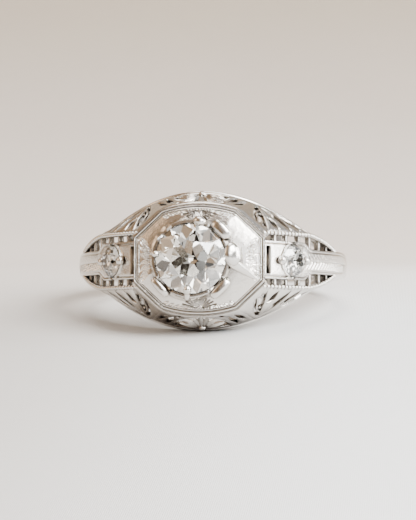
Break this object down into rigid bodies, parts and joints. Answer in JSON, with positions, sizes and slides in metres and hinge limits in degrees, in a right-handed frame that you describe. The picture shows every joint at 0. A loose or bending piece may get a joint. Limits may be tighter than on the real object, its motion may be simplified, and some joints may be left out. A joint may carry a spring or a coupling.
{
  "type": "engagement ring",
  "caption": "Vintage-style white gold filigree ring with a round centre diamond in an octagonal engraved head and small diamonds on pierced shoulders.",
  "frame": {"origin": "centre of the finger hole, at mid-width of the band", "axes": "+Z along the finger hole, so the ring lies on its side; -Y from the finger to the centre stone; +X towards the right shoulder when the head faces the viewer"},
  "size_m": [0.0194, 0.0233, 0.0098],
  "materials": {
    "polished_gold": "polished",
    "engraved_gold": "polished",
    "pierced_gold": "gloss",
    "milgrain_gold": "gloss",
    "satin_gold": "satin",
    "diamond": "polished"
  },
  "bodies": {
    "root": {"shank": "polished_gold", "head_frame": "polished_gold", "top_plate": "engraved_gold", "collet": "polished_gold", "centre_diamond": "diamond", "claw_right": "polished_gold", "claw_top": "polished_gold", "claw_left": "polished_gold", "claw_bottom": "polished_gold", "rim_upper": "polished_gold", "gallery_screen_upper": "pierced_gold", "blossom_upper": "engraved_gold", "rim_lower": "polished_gold", "gallery_screen_lower": "pierced_gold", "blossom_lower": "engraved_gold", "end_wall_left": "polished_gold", "bridge_left": "satin_gold", "shoulder_plate_left": "engraved_gold", "side_diamond_left": "diamond", "side_beads_left": "polished_gold", "beaded_rail_upper_left": "milgrain_gold", "ladder_bars_upper_left": "polished_gold", "corner_screen_upper_left": "pierced_gold", "leaf_ribs_upper_left": "pierced_gold", "beaded_rail_lower_left": "milgrain_gold", "ladder_bars_lower_left": "polished_gold", "corner_screen_lower_left": "pierced_gold", "leaf_ribs_lower_left": "pierced_gold", "end_wall_right": "polished_gold", "bridge_right": "satin_gold", "shoulder_plate_right": "engraved_gold", "side_diamond_right": "diamond", "side_beads_right": "polished_gold", "beaded_rail_upper_right": "milgrain_gold", "ladder_bars_upper_right": "polished_gold", "corner_screen_upper_right": "pierced_gold", "leaf_ribs_upper_right": "pierced_gold", "beaded_rail_lower_right": "milgrain_gold", "ladder_bars_lower_right": "polished_gold", "corner_screen_lower_right": "pierced_gold", "leaf_ribs_lower_right": "pierced_gold"}
  },
  "joints": []
}
